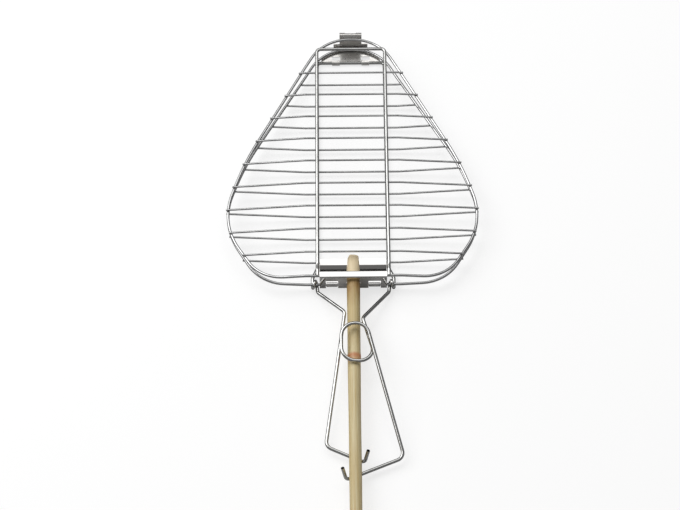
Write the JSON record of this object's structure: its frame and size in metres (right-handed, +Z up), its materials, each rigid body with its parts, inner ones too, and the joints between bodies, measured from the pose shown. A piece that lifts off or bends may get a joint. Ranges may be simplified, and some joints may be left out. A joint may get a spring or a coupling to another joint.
{
  "type": "campfire grill basket",
  "caption": "Hinged two-half wire grill basket with a spring catch, clamped on a natural stick by a folded socket and sprung hook arms.",
  "frame": {"origin": "under the middle of the whole object, on the surface it rests on", "axes": "+Y from the stick's grip to the catch, +Z up through the lid, +X across"},
  "size_m": [0.2568, 0.9648, 0.0328],
  "materials": {
    "rim_wire": "polished stainless steel wire",
    "cross_wire": "polished stainless steel wire",
    "frame_wire": "polished stainless spring wire",
    "sheet_steel": "bright stainless sheet",
    "peeled_stick": "peeled green stick, smooth"
  },
  "bodies": {
    "base": {"lower_rim": "rim_wire", "carrier_wire": "frame_wire", "stick_bracket": "sheet_steel", "end_plate": "sheet_steel", "lower_cross_wire_1": "cross_wire", "lower_cross_wire_2": "cross_wire", "lower_cross_wire_3": "cross_wire", "lower_cross_wire_4": "cross_wire", "lower_cross_wire_5": "cross_wire", "lower_cross_wire_6": "cross_wire", "lower_cross_wire_7": "cross_wire", "lower_cross_wire_8": "cross_wire", "lower_cross_wire_9": "cross_wire"},
    "lid": {"upper_rim": "rim_wire", "upper_frame": "frame_wire", "upper_cross_wire_1": "cross_wire", "upper_cross_wire_2": "cross_wire", "upper_cross_wire_3": "cross_wire", "upper_cross_wire_4": "cross_wire", "upper_cross_wire_5": "cross_wire", "upper_cross_wire_6": "cross_wire", "upper_cross_wire_7": "cross_wire", "upper_cross_wire_8": "cross_wire", "upper_cross_wire_9": "cross_wire"},
    "catch": {"catch_clip": "sheet_steel"},
    "left_arm": {"left_clamp_arm": "frame_wire"},
    "right_arm": {"right_clamp_arm": "frame_wire"},
    "stick": {"stick": "peeled_stick"}
  },
  "joints": [
    {"name": "lid_hinge", "type": "hinge", "parent": "base", "child": "lid", "pos_m": [0, 0.18908, 0.02494], "axis": [1, 0, 0], "range_deg": [0, 130], "deforming": ["catch_clip"]},
    {"name": "catch_flex", "type": "hinge", "parent": "base", "child": "catch", "pos_m": [0, 0.47798, 0.01404], "axis": [-1, 0, 0], "range_deg": [0, 10], "stiffness_Nm_per_rad": 0.5},
    {"name": "left_arm_flex", "type": "hinge", "parent": "base", "child": "left_arm", "pos_m": [-0.00905, 0.15208, 0.01744], "axis": [0, 0, 1], "range_deg": [0, 2.5], "stiffness_Nm_per_rad": 4},
    {"name": "right_arm_flex", "type": "hinge", "parent": "base", "child": "right_arm", "pos_m": [0.0016, 0.11358, 0.02544], "axis": [0, 0, -1], "range_deg": [0, 2.5], "stiffness_Nm_per_rad": 4},
    {"name": "stick_slide", "type": "slide", "parent": "base", "child": "stick", "axis": [0, -1, 0], "range_m": [0, 0.25]}
  ]
}
